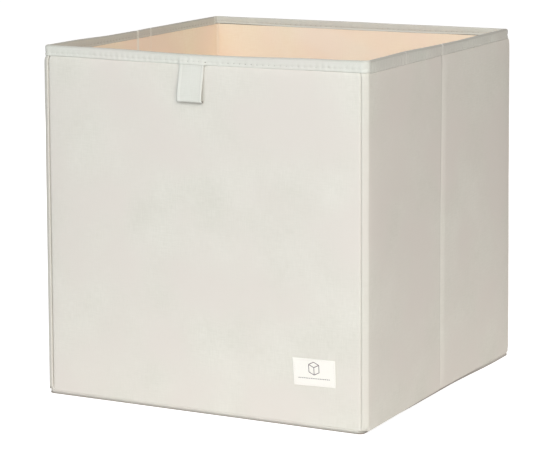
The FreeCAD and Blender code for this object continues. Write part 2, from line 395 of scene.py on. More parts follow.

# %% [markdown]
# ## Cloth
# The bin is sewn from one greige cloth: a plain-woven polyester, coated on its back so that it
# holds a fold, with a dull face. Plain weave means that each thread goes over one and under
# one, so its surface is a chequer of small bumps: the sine of the distance across times the
# sine of the distance along. Threads differ a little in tone along their length, which gives
# the face its grain. The real threads are about 0.3 mm apart, finer than a picture of the
# whole bin can show, so they are drawn 0.6 mm apart. An attribute on the pieces paints light
# and shade into the colour: painted highlight on crease slopes, ridges, hems and fold edges,
# painted shade in creases, corners, under folds, on rim tops and along the foot, and a few pale
# marks along creases.

# %% A woven cloth
# The pale colour of painted highlights and pale marks, and the grey of painted shade.
PALE_HIGHLIGHT, PAINTED_SHADE_GREY = "#f0f1e9", "#86827a"
CLOUDS, HUES = 22.0, 16.0  # soft patches of tone about 45 mm wide, and of hue about 60 mm wide


def woven(name, light, dark, warm, thread=0.6, depth=0.05, turned=0.0, roughness=0.88, sheen=0.15,
          grain=0.5):
    """A plain weave: thread spacing and depth in millimetres, turned in degrees on the cloth."""
    material, tree = new_material(name)
    uv = add_node(tree, "UVMap", uv_map="cloth").outputs["UV"]
    laid = add_node(tree, "Mapping", {"Vector": uv, "Rotation": (0, 0, math.radians(turned))})
    apart = add_node(tree, "SeparateXYZ", {"Vector": laid.outputs[0]})
    waves = []
    for axis in "XY":
        turn = add_node(tree, "Math", {0: apart.outputs[axis], 1: math.pi / (thread * MM)},
                        operation="MULTIPLY")
        waves.append(add_node(tree, "Math", {0: turn.outputs[0]}, operation="SINE").outputs[0])
    weave = add_node(tree, "Math", {0: waves[0], 1: waves[1]}, operation="MULTIPLY").outputs[0]
    tones = []
    for number, stretch in enumerate(((1.0, 0.12), (0.12, 1.0))):
        drawn = add_node(tree, "Mapping", {
            "Vector": laid.outputs[0], "Location": (number, 0, 0),
            "Scale": (stretch[0] / (2 * thread * MM), stretch[1] / (2 * thread * MM), 1)})
        tones.append(add_node(tree, "TexNoise", {"Vector": drawn.outputs[0], "Scale": 1.0,
                                                 "Detail": 1.0}, noise_dimensions="2D").outputs[0])
    threads = add_node(tree, "Math", {0: tones[0], 1: tones[1]}, operation="ADD").outputs[0]
    place = add_node(tree, "TexCoord").outputs["Object"]
    cloud = add_node(tree, "TexNoise", {"Vector": place, "Scale": CLOUDS, "Detail": 2.0})
    even = add_node(tree, "Math", {0: threads, 1: grain, 2: cloud.outputs[0]},
                    operation="MULTIPLY_ADD").outputs[0]
    share = add_node(tree, "MapRange", {"Value": even, "From Min": grain + 0.15,
                                        "From Max": grain + 0.85}).outputs[0]
    colour = add_node(tree, "Mix", {0: share, 6: linear(dark), 7: linear(light)},
                      data_type="RGBA").outputs[2]
    elsewhere = add_node(tree, "Mapping", {"Vector": place, "Location": (3.0, 1.0, 2.0)})
    hue = add_node(tree, "TexNoise", {"Vector": elsewhere.outputs[0], "Scale": HUES,
                                      "Detail": 1.0}).outputs[0]
    shift = add_node(tree, "MapRange", {"Value": hue, "From Min": 0.35, "From Max": 0.65})
    colour = add_node(tree, "Mix", {0: shift.outputs[0], 6: colour, 7: linear(warm)},
                      data_type="RGBA").outputs[2]
    # Above 0 the attribute paints the colour paler, for painted highlights and for pale marks;
    # below 0 it paints it darker, for painted shade.
    painted_tone = add_node(tree, "Attribute", attribute_name="painted light and pale marks").outputs["Fac"]
    shade_share = add_node(tree, "Math", {0: painted_tone, 1: -1.0}, operation="MULTIPLY").outputs[0]
    for share, tone in ((painted_tone, PALE_HIGHLIGHT), (shade_share, PAINTED_SHADE_GREY)):
        colour = add_node(tree, "Mix", {0: share, 6: colour, 7: linear(tone)},
                          data_type="RGBA").outputs[2]
    height = add_node(tree, "Math", {0: weave, 1: 0.5, 2: threads}, operation="MULTIPLY_ADD")
    relief = add_node(tree, "Bump", {"Height": height.outputs[0], "Distance": depth * MM,
                                     "Strength": 0.7})
    shader = add_node(tree, "BsdfPrincipled", {
        "Base Color": colour, "Roughness": roughness, "Sheen Weight": sheen,
        "Sheen Roughness": 0.5, "Specular IOR Level": 0.25, "Normal": relief.outputs[0]})
    add_node(tree, "OutputMaterial", {"Surface": shader.outputs[0]})
    return material


cover_cloth = woven("woven polyester, greige", "#d9d7cd", "#cfcdc2", "#d5d0c7")
binding_cloth = woven("woven polyester binding, cut on the bias", "#d0d1c7", "#c8c9bf", "#cccac1",
                      turned=45)
strip_cloth = woven("woven polyester seam strip", "#d3d1c6", "#cccabf", "#d0ccc2")
tab_cloth = woven("woven polyester tape", "#d6d7ce", "#cfd0c6", "#d2d1c8", depth=0.06)

# %% [markdown]
# The lining is a thin peach cloth with a drier hand and a finer, less even thread. The cloth
# under the bin is a pressed non-woven: short fibres in every direction, with no weave, so its
# tone comes from noise alone. The patch is satin-woven in fine ivory threads.

# %% Lining, patch and base cloth
lining_cloth = woven("woven polyester lining, peach", "#fbefd7", "#f4e4c8", "#f9e5d0",
                     roughness=0.92, sheen=0.1)
satin = {"thread": 0.4, "depth": 0.03, "roughness": 0.6, "sheen": 0.1}
patch_cloth = woven("satin-woven patch, ivory", "#eeece4", "#e9e7df", "#ece7df", **satin)
mark_cloth = woven("satin-woven mark, dark mauve", "#5b4a55", "#483a44", "#55434e", **satin)


def pressed(name, light, dark, fibre, depth, roughness):
    """Matted short fibres of a length in millimetres, as in paperboard or non-woven cloth."""
    material, tree = new_material(name)
    place = add_node(tree, "TexCoord").outputs["Object"]
    fibres = add_node(tree, "TexNoise", {"Vector": place, "Scale": 1 / (fibre * MM), "Detail": 4.0,
                                         "Distortion": 1.5}).outputs[0]
    flecks = add_node(tree, "TexVoronoi", {"Vector": place, "Scale": 0.4 / (fibre * MM)}).outputs[0]
    both = add_node(tree, "Math", {0: flecks, 1: 0.4, 2: fibres}, operation="MULTIPLY_ADD")
    both = both.outputs[0]
    share = add_node(tree, "MapRange", {"Value": both, "From Min": 0.45, "From Max": 0.85})
    colour = add_node(tree, "Mix", {0: share.outputs[0], 6: linear(dark), 7: linear(light)},
                      data_type="RGBA").outputs[2]
    relief = add_node(tree, "Bump", {"Height": both, "Distance": depth * MM, "Strength": 0.6})
    shader = add_node(tree, "BsdfPrincipled", {
        "Base Color": colour, "Roughness": roughness, "Specular IOR Level": 0.2,
        "Normal": relief.outputs[0]})
    add_node(tree, "OutputMaterial", {"Surface": shader.outputs[0]})
    return material


base_cloth_finish = pressed("non-woven polypropylene, taupe", "#a39b90", "#8f867b", 1.5, 0.08, 0.9)
greyboard = pressed("pressed greyboard", "#a39a8c", "#8b8377", 2.0, 0.06, 0.95)

# %% [markdown]
# Sewing thread is two plies twisted together, so its surface is a fine slanting stripe. The UV
# map of each stitch runs along it and round it, and the stripe is one sine of both.

# %% Sewing thread


def twisted(name, light, dark, lay):
    """Twisted thread: stripes that slant along and round it, lay millimetres apart."""
    material, tree = new_material(name)
    uv = add_node(tree, "UVMap", uv_map="cloth").outputs["UV"]
    apart = add_node(tree, "SeparateXYZ", {"Vector": uv})
    slant = add_node(tree, "Math", {0: apart.outputs["X"], 1: apart.outputs["Y"]}, operation="ADD")
    turn = add_node(tree, "Math", {0: slant.outputs[0], 1: math.tau / (lay * MM)},
                    operation="MULTIPLY")
    stripe = add_node(tree, "Math", {0: turn.outputs[0]}, operation="SINE").outputs[0]
    share = add_node(tree, "MapRange", {"Value": stripe, "From Min": -1.0}).outputs[0]
    colour = add_node(tree, "Mix", {0: share, 6: linear(dark), 7: linear(light)},
                      data_type="RGBA").outputs[2]
    relief = add_node(tree, "Bump", {"Height": stripe, "Distance": 0.05 * MM, "Strength": 0.6})
    shader = add_node(tree, "BsdfPrincipled", {
        "Base Color": colour, "Roughness": 0.6, "Sheen Weight": 0.2,
        "Specular IOR Level": 0.4, "Normal": relief.outputs[0]})
    add_node(tree, "OutputMaterial", {"Surface": shader.outputs[0]})
    return material


# The top thread is made dark grey as painted shade for its sunk stitches and their holes; the real
# thread is greige like the cloth.
thread = twisted("polyester sewing thread, dark grey as painted stitch shade", "#807e74", "#68665d", lay=0.6)
bobbin_thread = twisted("polyester bobbin thread, greige", "#bfbdb2", "#aaa89d", lay=0.6)
patch_thread = twisted("polyester sewing thread, ivory", "#e9e7df", "#d8d6cd", lay=0.6)
print(len(bpy.data.materials), "materials")

# %% [markdown]
# ## Boards
# Each wall holds a stiff board between its cloths, and the base insert holds another. They are
# real, flat and hidden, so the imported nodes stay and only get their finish.

# %% Finish the boards
for name, node in frame["nodes"].items():
    if name.endswith("_board"):
        node.data.materials.clear()
        node.data.materials.append(greyboard)

# %% [markdown]
# ## Outer cloth
# A wall's cloth is sewn in at its four edges and lies full over the board between them, so it
# stands a little proud in the middle and runs in at each seam. Stitching gathers it just
# below the rim. Cloth simulation would find the same shape, but slowly and with less control,
# so the fullness is written down directly: fades from the four seams, broad hills, and short
# gathers that die away below the rim.

# %% How far the outer cloth stands off its board
FULLNESS, FLARE_TOP, FLARE_FOOT, FLARE_REAR = 1.2, 1.2, 2.8, 0.8
TUCK_UP, TUCK_DOWN, TUCK_SIDE = 2.8, 0.2, 1.8
SEAM_TURN, SIDE_SEAM_TURN = 2.3, 0.9


def flare(up, deep=-HALF):
    """How far the sewn shell stands out from the boards: a straight line, widest at the foot, and
    a little wider there towards the back."""
    below_rim = np.clip(RIM_EDGE + 1.0 - up, 0, None)
    foot = FLARE_FOOT + FLARE_REAR * smooth(0.5 + deep / (2 * HALF))
    return (FLARE_TOP + (foot - FLARE_TOP) * below_rim / RIM_EDGE) * fade(below_rim, 2.0)


def outer_fullness(across, up, half_across, seed):
    """Outer cloth above its board: full in the middle, run in at the seams, gathered at the rim."""
    below_rim = np.clip(RIM_EDGE - up, 0, None)
    inside = np.clip(half_across - np.abs(across), 0, None)
    full = fade(inside, 12) * fade(below_rim, 11) * fade(up - WALL_FOOT, 15)
    broad = 0.30 * hills(across, up, 66, 84, seed) + 0.16 * hills(across, up, 27, 36, seed + 1)
    gathers = 0.20 * hills(across, up, 1.4 * STITCH_PITCH, 60, seed + 2)
    gathers = gathers * fade(below_rim, 2.5) * fade(inside, 4) * np.exp(-below_rim / 13)
    return full * (FULLNESS + broad) + gathers


def sewn_edges(across, up, half_across, turn_in):
    """How far the cloth turns in at its two upright seams and at its foot, in millimetres."""
    at_side = turn_in * smooth((np.abs(across) - half_across + 0.8) / 1.3)
    at_foot = 0.4 * smooth((WALL_FOOT + 0.5 - up) / 1.1)
    return at_side + at_foot


def front_cloth(across, up, deep=-HALF):
    """How far the front or back outer cloth reaches from the middle of the bin."""
    half_across = GROOVE + flare(up, deep)
    return (OUTER_FACE + flare(up, deep) + outer_fullness(across, up, half_across, seed=10)
            - sewn_edges(across, up, half_across, SEAM_TURN))


cover_lines = lines(WALL_FOOT - TUCK_DOWN, RIM_EDGE + TUCK_UP)


def end_wall_cover(side):
    """The outer cloth of the front wall (side -1) or the back wall (side 1), as a grid."""
    across, up = np.meshgrid(lines(-GROOVE, GROOVE) / GROOVE, cover_lines)
    across = across * (GROOVE + flare(up, side * HALF) + TUCK_SIDE)
    return np.stack([across, side * front_cloth(side * across, up, side * HALF), up], axis=2)


# %% Front and back covers
for side, wall in ((-1, "front"), (1, "back")):
    cover = surface(f"{wall}_cover_cloth", end_wall_cover(side), facing=(0, side, 0))
    dress(cover, cover_cloth, "cover_cloth", wall, [f"{wall}_cover"], thickness=CLOTH)

# %% [markdown]
# Each side wall folds inwards along an upright crease. Its cloth is one sheet over two boards,
# and it sinks a little between them. The front edge of the crease is steep and the rear one
# is a long gentle slope, because the wall has been folded that way round many times. Just
# under the rim the slope widens into a small dart. The sheet runs across both halves of the
# wall in one piece.

# %% Side covers
CREASE_STEEP, CREASE_SLOPE, DART = 2.6, 9.0, 7.0
CREASE_BED, CREASE_FORWARD, CREASE_BOW = 0.5, 2.5, 3.0
DRAWN_IN, FRONT_HALF_DULL = 0.55, 0.03


def from_crease(along, up):
    """Distance from the crease, which lies forward of the hinge and bows forward at mid height."""
    return along + CREASE_FORWARD + CREASE_BOW * np.sin(math.pi * np.clip(up / RIM_EDGE, 0, 1))


def crease(off, up):
    """0 in the crease and 1 away from it: steep on the front side, long on the rear side."""
    rear = CREASE_SLOPE + DART * np.exp(-np.clip(RIM_EDGE - up, 0, None) / 16)
    rear_rise = 1 - (1 - np.clip(off / rear, 0, 1)) ** 1.5
    return np.where(off < 0, smooth(-off / CREASE_STEEP), rear_rise)


def side_wall_cover(side):
    """The outer cloth of the left wall (side -1) or the right wall (side 1), with its painted
    highlight and painted shade.
    """
    along, up = np.meshgrid(lines(-STRIP_EDGE, STRIP_EDGE, creases=(-4, 0)), cover_lines)
    near_end = smooth((np.abs(along) - STRIP_EDGE + 30) / 30)
    spread = flare(up, along)
    along = along + np.sign(along) * near_end * (spread + TUCK_SIDE)
    half_along = STRIP_EDGE + spread
    drawn_in = 1 - DRAWN_IN * bell(along, 95)
    above = spread * drawn_in + outer_fullness(along, up, half_along, seed=41 + side)
    off = from_crease(along, up)
    across_fold = crease(off, up)
    bed = CREASE_BED * (1 - across_fold) * fade(RIM_EDGE - up, 3)
    out = OUTER_FACE + bed + above * across_fold
    out = np.where(up > RIM_EDGE, OUTER_FACE, out)
    out = out - sewn_edges(along, up, half_along, SIDE_SEAM_TURN)
    # Painted highlight on the rear slope of the crease and painted shade just in front of it, both
    # fading out near the foot; the front part of the wall is also made a little darker.
    painted_tone = 0.32 * smooth(off / 0.8) * np.exp(-np.clip(off, 0, None) / 4.0)
    crease_painted_shade = 0.34 * bell(off + 1.5, 1.3)
    dull = FRONT_HALF_DULL * (1 - smooth((along + 20) / 40))
    painted_light_and_marks = (painted_tone - crease_painted_shade) * smooth((up - 4) / 4) - dull
    return np.stack([side * out, along, up], axis=2), painted_light_and_marks


def across_crease(side_name, half_width):
    """The bodies and the two places that cloth bends between where it crosses a side's crease."""
    front, rear = f"{side_name}_front", f"{side_name}_rear"
    return front, rear, (0, -half_width, 0), (0, half_width, 0)


for side, wall in ((-1, "left"), (1, "right")):
    points, painted_light_and_marks = side_wall_cover(side)
    cover = surface(f"{wall}_cover_cloth", points, facing=(side, 0, 0), painted_light_and_marks=painted_light_and_marks)
    dress(cover, cover_cloth, "cover_cloth", thickness=CLOTH,
          stands_for=[f"{wall}_front_cover", f"{wall}_rear_cover"],
          bends=across_crease(wall, CREASE_EDGE))

# %% [markdown]
# ## Lining
# The peach lining is glued and sewn over the inner face of the boards. It is thinner and
# slacker than the outer cloth, so long soft wrinkles run across it. On the front and the back
# wall it turns both corners and reaches the corner hinges. The turn is a quarter circle, so
# the path along the wall is worked out from one distance: straight, round, and straight again.

# %% A path along one wall and round its two corners


def turned_wall(distance, half, radius):
    """Place and outward direction at a distance from the middle of the back wall.

    The path is straight as far as half less radius, then a quarter circle, then straight on
    towards the front. Returns x, y and the two parts of the direction."""
    straight = half - radius
    away = np.abs(distance)
    angle = np.clip((away - straight) / radius, 0, math.pi / 2)
    beyond = np.clip(away - straight - radius * math.pi / 2, 0, None)
    x = np.sign(distance) * (np.minimum(away, straight) + radius * np.sin(angle))
    y = half - radius * (1 - np.cos(angle)) - beyond
    return x, y, np.sign(distance) * np.sin(angle), np.cos(angle)


def turned_reach(half, radius, end):
    """The distance at which that path comes to y = end."""
    return half - radius + radius * math.pi / 2 + (half - radius - end)


# %% Wrinkles of the lining
SLACK = 0.34
lining_lines = lines(WALL_FOOT - 0.2, RIM_EDGE + 1.6)


def wrinkles(across, up, seed, fan=(0.0, 0.0)):
    """Long soft ridges that fan out from the upper left corner, each a bell across its own line."""
    draw = np.random.default_rng(seed)
    height = np.zeros(np.broadcast(across, up).shape)
    for _ in range(9):
        slope = math.radians(draw.uniform(-64, -12))
        start_x, start_z = draw.uniform(-170, -40), draw.uniform(270, 345)
        along = (across - start_x) * math.cos(slope) + (up - start_z) * math.sin(slope)
        off = (up - start_z) * math.cos(slope) - (across - start_x) * math.sin(slope)
        reach, width = draw.uniform(90, 220), draw.uniform(5, 13)
        height += draw.uniform(0.4, 1.0) * bell(off, width) * bell(along - reach / 2, reach / 2)
    return np.clip(height, 0, 1.6) / 1.6


def inner_slack(across, up, seed):
    """How far the lining stands in from its board: ridges and low hills, run in at the seams."""
    edges = fade(RIM_EDGE - up, 6) * fade(up - WALL_FOOT, 10)
    low_hills = 0.5 + 0.5 * hills(across, up, 34, 46, seed + 5)
    return SLACK * edges * (0.65 * wrinkles(across, up, seed) + 0.35 * low_hills)


# %% Front and back linings
LINING_CORNER = 2.4
for side, wall in ((-1, "front"), (1, "back")):
    reach = turned_reach(INNER_FACE, LINING_CORNER, HINGE_Y + 0.1)
    corner = INNER_FACE - LINING_CORNER
    distance, up_wall = np.meshgrid(lines(-reach, reach, creases=(-corner, corner)), lining_lines)
    x, y, out_x, out_y = turned_wall(distance, INNER_FACE, LINING_CORNER)
    slack = inner_slack(distance, up_wall, seed=61 + side)
    slack = slack * smooth((corner - np.abs(distance)) / 12)
    points = np.stack([x - slack * out_x, side * (y - slack * out_y), up_wall], axis=2)
    # The wrinkle ridges are painted paler as painted highlight, and the lining just past each
    # corner turn is painted darker as painted shade.
    corner_painted_shade = 0.10 * bell(np.abs(distance) - corner - 1.5, 1.6)
    painted_light_and_marks = 0.16 * wrinkles(distance, up_wall, 61 + side) - corner_painted_shade
    lining = surface(f"{wall}_lining_cloth", points, facing=(0, -side, 0), painted_light_and_marks=painted_light_and_marks)
    dress(lining, lining_cloth, "lining_cloth", wall, [f"{wall}_lining"], thickness=CLOTH * 0.7)

# %% Side linings
for side, wall in ((-1, "left"), (1, "right")):
    along, up_wall = np.meshgrid(lines(-HINGE_Y + 0.1, HINGE_Y - 0.1, creases=(0, 25)),
                                 lining_lines)
    slack = inner_slack(along, up_wall, seed=81 + side)
    ridge = 0.30 * bell(along, 1.6) + 0.22 * bell(along - 25, 1.2) * smooth((up_wall - 150) / 120)
    inside = INNER_FACE - np.minimum(slack + ridge, SLACK)
    painted_light_and_marks = 0.75 * bell(along, 1.9) + 0.12 * bell(along - 25, 1.5)
    lining = surface(f"{wall}_lining_cloth", np.stack([side * inside, along, up_wall], axis=2),
                     facing=(-side, 0, 0), painted_light_and_marks=painted_light_and_marks)
    dress(lining, lining_cloth, "lining_cloth", thickness=CLOTH * 0.7,
          stands_for=[f"{wall}_front_lining", f"{wall}_rear_lining"],
          bends=across_crease(wall, CREASE_EDGE))

# %% [markdown]
# ## Corner strips
# At each upright corner the two walls' cloths are sewn together, and the seam allowance is
# folded flat into a narrow strip that slopes back round the corner. Its section is a closed
# smooth line through a few points, as a tailor's curve is drawn, with a round ridge beside the
# seam and a long slope round the corner. It is carried up the corner, and its foot is rounded.

# %% Corner strips


def superellipse(angle, half_long, half_short, squareness):
    """A ring between an ellipse (squareness 1) and a rectangle: cosine and sine to one over it."""
    c, s = np.cos(angle), np.sin(angle)
    return (half_long * np.sign(c) * np.abs(c) ** (1 / squareness),
            half_short * np.sign(s) * np.abs(s) ** (1 / squareness))


STRIP_SECTION = np.array([
    (158.6, 163.3), (158.7, 164.7), (159.4, 165.3), (160.7, 164.95), (162.4, 164.05),
    (163.9, 163.05), (164.75, 162.0), (164.95, 160.9), (164.5, 160.0), (163.4, 160.2),
    (162.2, 161.4), (160.2, 163.0)])
STRIP_FOOT_ROUND, STRIP_MIDDLE, TIGHTER = 7.0, 161.4, 0.10


def closed_curve(corners, count):
    """A closed smooth line through the given corners: each piece is the Catmull-Rom cubic."""
    share = np.arange(count) * len(corners) / count
    number = share.astype(int)
    t = (share - number)[:, None]
    before, start, end, after = (corners[(number + k) % len(corners)] for k in (-1, 0, 1, 2))
    bend = 2 * before - 5 * start + 4 * end - after
    twist = 3 * start - before - 3 * end + after
    return 0.5 * (2 * start + (end - before) * t + bend * t ** 2 + twist * t ** 3)


def strip_points(side_x, side_y, seed):
    """The strip at one corner, as rings up the corner: rows are heights, columns go round. The
    strips on the left are sewn tighter, so they are narrower."""
    section = closed_curve(STRIP_SECTION, 36)
    if side_x < 0:
        section = section + (STRIP_MIDDLE - section[:, :1]) * (TIGHTER, 0)
    foot = WALL_FOOT - TUCK_DOWN
    height = lines(foot, RIM_EDGE + 1.6, step=5.0)[:, None]
    lift = np.clip(1 - (height - foot) / STRIP_FOOT_ROUND, 0, 1)
    round_in = 3.0 * (1 - np.sqrt(1 - 0.96 * lift ** 2))
    sway = 0.12 * hills(height, 0 * height, 30, 1, seed)
    across = section[:, 0] + flare(height, side_y * HALF) + sway - round_in
    deep = section[:, 1] + flare(height, side_y * HALF) - 0.45 * round_in
    return np.stack([side_x * across, side_y * deep, height + 0 * across], axis=2)


for side_y, wall in ((-1, "front"), (1, "back")):
    for side_x, hand in ((-1, "left"), (1, "right")):
        strip = surface(f"{wall}_{hand}_corner_strip_cloth",
                        strip_points(side_x, side_y, 101 + side_x + 3 * side_y), round_columns=True)
        dress(strip, strip_cloth, "corner_strip_cloth", wall, [f"{wall}_{hand}_corner_strip"])

# %% [markdown]
# Behind each strip the cloth of the two walls runs on into the seam, as a narrow gusset. The
# three gussets that join two walls get no body, and their transforms are baked in. The corner
# between the front wall and the left wall is where the imported model opens its closed ring of
# walls, so the gusset there stays with the front wall.

# %% Corner gussets
GUSSET_IN = 0.7
corners = (
    ("back_right", 1, 1, "back", "right_rear"),
    ("back_left", -1, 1, "back", "left_rear"),
    ("front_right", 1, -1, "front", "right_front"),
    ("front_left", -1, -1, "front", None),
)
for name, side_x, side_y, wall, neighbour in corners:
    deep, height = np.meshgrid(np.linspace(STRIP_EDGE + 0.3, HINGE_Y - 1.6, 9),
                               lines(WALL_FOOT + 0.4, TOP - 2.0, step=20))
    points = np.stack([side_x * (OUTER_FACE - GUSSET_IN) + 0 * deep, side_y * deep, height], axis=2)
    gusset = surface(f"{name}_gusset", points, facing=(side_x, 0, 0))
    bends = neighbour and (wall, neighbour, (0, side_y * STRIP_EDGE, 0),
                           (0, side_y * (HINGE_Y - 1), 0))
    dress(gusset, cover_cloth, "cover_cloth", wall, thickness=CLOTH * 0.7, bends=bends)

# %% [markdown]
# ## Rim binding
# A tape of the same cloth is folded over the top of each wall and sewn through all layers. Its
# section is worked out once: a tucked lower edge, a flat outer face, a rounded top and the
# same again inside. The tape is carried along the wall, and every stitch pulls it in a
# little, so it puckers between stitches. On the side walls it has also been creased.

# %% The section of the binding
BINDING = 0.5
RIM_HALF = (BOARD_OUT - BOARD_IN) / 2 + BINDING + 0.1
MOST_PULL = BINDING - 0.12
INNER_RIM_EDGE = RIM_EDGE + 1.0
top_start = TOP - RIM_HALF


def rim_section():
    """Points (out, up) of the tape: up the outside, over the top and down the inside."""
    rise = np.arange(RIM_EDGE + 0.6, top_start - 0.3, 0.7)
    drop = np.arange(INNER_RIM_EDGE + 0.6, top_start - 0.3, 0.7)[::-1]
    over = np.linspace(0, math.pi, 13)
    over_out, over_up = superellipse(over, RIM_HALF, RIM_HALF, 1.25)
    tuck_out = np.array([RIM_HALF - 0.55, RIM_HALF - 0.15, RIM_HALF])
    tuck_up = np.array([0.30, 0.0, 0.25])
    out = np.concatenate([tuck_out, np.full(rise.shape, RIM_HALF), over_out,
                          np.full(drop.shape, -RIM_HALF), -tuck_out[::-1]])
    height = np.concatenate([RIM_EDGE + tuck_up, rise, top_start + over_up, drop,
                             INNER_RIM_EDGE + tuck_up[::-1]])
    return out, height


section_out, section_up = rim_section()
BULGE_UP, TAB_BULGE = 8.0, 1.9
print("binding section:", len(section_out), "points")

# %% Stitches pull the binding in


def stitch_pull(along, up_rim, seed, depth, pucker, steady):
    """How far the tape is pulled in: a groove along the stitches, of which a steady share is there
    between them too, and a short upright pucker through each stitch."""
    from_line = up_rim - RIM_EDGE - RIM_STITCH_UP
    beat = (0.5 + 0.5 * np.cos(math.tau * along / STITCH_PITCH)) ** 2
    strength = 0.8 + 0.7 * hills(along, 0 * up_rim, 3 * STITCH_PITCH, 1, seed + 7)
    groove = bell(from_line, 0.9) * (steady + (1 - steady) * beat)
    upright = bell(from_line - 0.6, 3.8) * (beat - 0.4) * strength
    swell = 0.12 * hills(along, up_rim, 0.7 * STITCH_PITCH, 5, seed)
    lip = 0.16 * bell(up_rim - RIM_EDGE - 0.8, 0.8)
    return depth * groove + pucker * upright - swell - lip


def carry_rim(x, y, out_x, out_y, along, seed, depth, pucker, steady, lift=0.0, raise_edge=0.0,
              marks=(), bulge=0.0):
    """Carry the section along a path. lift moves the top and raise_edge the sewn lower edges,
    marks are (place, width, depth) of upright fold marks, and bulge pushes the outer sewn edge
    out where something lies under it. The tape stops at the board, so the pull has a limit."""
    out = np.broadcast_to(section_out, (len(along), len(section_out)))
    height = np.broadcast_to(section_up, out.shape)
    pull = stitch_pull(along[:, None], height, seed, depth, pucker, steady)
    pull = pull + sum(d * bell(along[:, None] - at, w) for at, w, d in marks)
    pushed = np.broadcast_to(bulge, along.shape)[:, None]
    pull = pull - pushed * (1 - smooth((height - RIM_EDGE) / BULGE_UP)) * (out > 0)
    pull = np.minimum(pull, MOST_PULL)
    side_share = np.clip(out / RIM_HALF, -1, 1)
    out = out - pull * side_share * (height < top_start)
    sway = 0.18 * hills(along, 0 * along, 37, 1, seed + 1)[:, None]
    wave = 0.18 * hills(along, 0 * along, 45, 1, seed + 2) + lift
    share_up = smooth((height - RIM_EDGE) / (TOP - RIM_EDGE))
    edge_lift = np.broadcast_to(raise_edge, along.shape)[:, None]
    height = height + wave[:, None] * share_up + edge_lift * (1 - share_up)
    out = out + sway
    return np.stack([x[:, None] + out * out_x[:, None], y[:, None] + out * out_y[:, None], height],
                    axis=2)


RIM_CORNER, SIDE_EDGE_LIFT = 3.6, 0.3
RIM_STEP = STITCH_PITCH / 6
TOP_PAINTED_SHADE = -0.30
tab_left, tab_right = span("pull_tab", "x")


def over_tab(side, across):
    """How far the front rim's sewn edge is pushed out by the pull tab caught under it."""
    window = smooth((across - tab_left + 2.2) / 2.6) * smooth((tab_right + 2.2 - across) / 2.6)
    return TAB_BULGE * window * (side < 0)


def end_edge_lift(distance):
    """How far a front or back rim's sewn edge is drawn up: little in the middle, more outside."""
    return 0.4 + 0.9 * smooth((np.abs(distance) - 60) / 80)


def end_wall_rim(side, distance, seed, depth, pucker, steady, lift):
    """The binding of the front wall (side -1) or the back wall (side 1), round both corners. Its
    sewn edge is drawn up towards the corners."""
    x, y, out_x, out_y = turned_wall(distance, WALL_MIDDLE, RIM_CORNER)
    return carry_rim(x, side * y, out_x, side * out_y, distance, seed, depth, pucker, steady,
                     lift, end_edge_lift(distance), bulge=over_tab(side, distance))


def side_wall_rim(side, along, seed, depth, pucker, steady, lift, marks):
    """The binding of the left wall (side -1) or the right wall (side 1)."""
    ones = np.ones_like(along)
    return carry_rim(side * WALL_MIDDLE * ones, along, side * ones, 0 * ones, along, seed, depth,
                     pucker, steady, lift, SIDE_EDGE_LIFT, marks)


# Painted shade along the top of every rim tape, which makes its crest darker.
painted_shade_top = TOP_PAINTED_SHADE * smooth((section_up - TOP + 1.8) / 1.2)


# %% [markdown]
# No two walls of a sewn bin are alike. The tables below give each rim its side and seed, the
# depth of its groove and puckers, the steady share of the groove, how far its top is lifted
# (the front sags in the middle and stands up at both corners), and the share by which its tape
# is painted paler on the front and back rims, as painted light, and darker on the side rims, as
# painted shade. The front and back tables also say how much painted shade darkens the top of
# the tape. A side rim's table also has its upright fold marks as (place, width, depth), and the
# places where its tape is painted paler as (place, width, share).

# %% Rims of the front and back walls
rim_reach = turned_reach(WALL_MIDDLE, RIM_CORNER, HINGE_Y + 0.1)
rim_distance = np.linspace(-rim_reach, rim_reach, round(2 * rim_reach / RIM_STEP))
front_lift = (0.9 * (1 - smooth((rim_distance + 100) / 80)) - 0.7 * bell(rim_distance, 70)
              + 1.1 * smooth((rim_distance - 40) / 70) + 0.5 * smooth((rim_distance - 135) / 30))
end_rims = {"front": (-1, 121, 0.45, 0.24, 0.25, front_lift, 0.14, 1.0),
            "back": (1, 131, 0.75, 0.30, 0.8, 0.0, 0.15, 0.5)}
# Each end rim's tape is painted paler as painted light, and its top darker as painted shade.
for wall, (side, seed, depth, pucker, steady, lift, tone, top_shade_share) in end_rims.items():
    points = end_wall_rim(side, rim_distance, seed, depth, pucker, steady, lift)
    rim = surface(f"{wall}_rim_tape", points, painted_light_and_marks=tone + top_shade_share * painted_shade_top)
    dress(rim, binding_cloth, "rim_binding_tape", wall, [f"{wall}_rim_binding"], thickness=BINDING)

# %% Rims of the side walls
rim_along = np.linspace(-HINGE_Y + 0.1, HINGE_Y - 0.1, round(2 * HINGE_Y / RIM_STEP))
left_lift = 1.6 * (1 - smooth((rim_along + 130) / 90)) - 0.4 * (1 - smooth((rim_along - 1) / 22))
right_lift = 1.6 * (1 - smooth((rim_along + 90) / 110))
side_rims = {
    "left": (-1, 141, 0.32, 0.18, 0.4, left_lift, ((3.0, 1.0, 0.5), (23.5, 0.8, 0.6)),
             ((0.0, 1.5, 0.8), (25.0, 0.9, 0.5), (HINGE_Y - 1.2, 1.2, 0.7)), -0.05),
    "right": (1, 151, 0.60, 0.95, 0.25, right_lift,
              ((-82.0, 0.9, 0.7), (-5.0, 0.8, 0.6), (2.5, 0.8, 0.5)),
              ((-1.5, 1.2, 0.45), (-84.0, 0.8, 0.15)), -0.11),
}
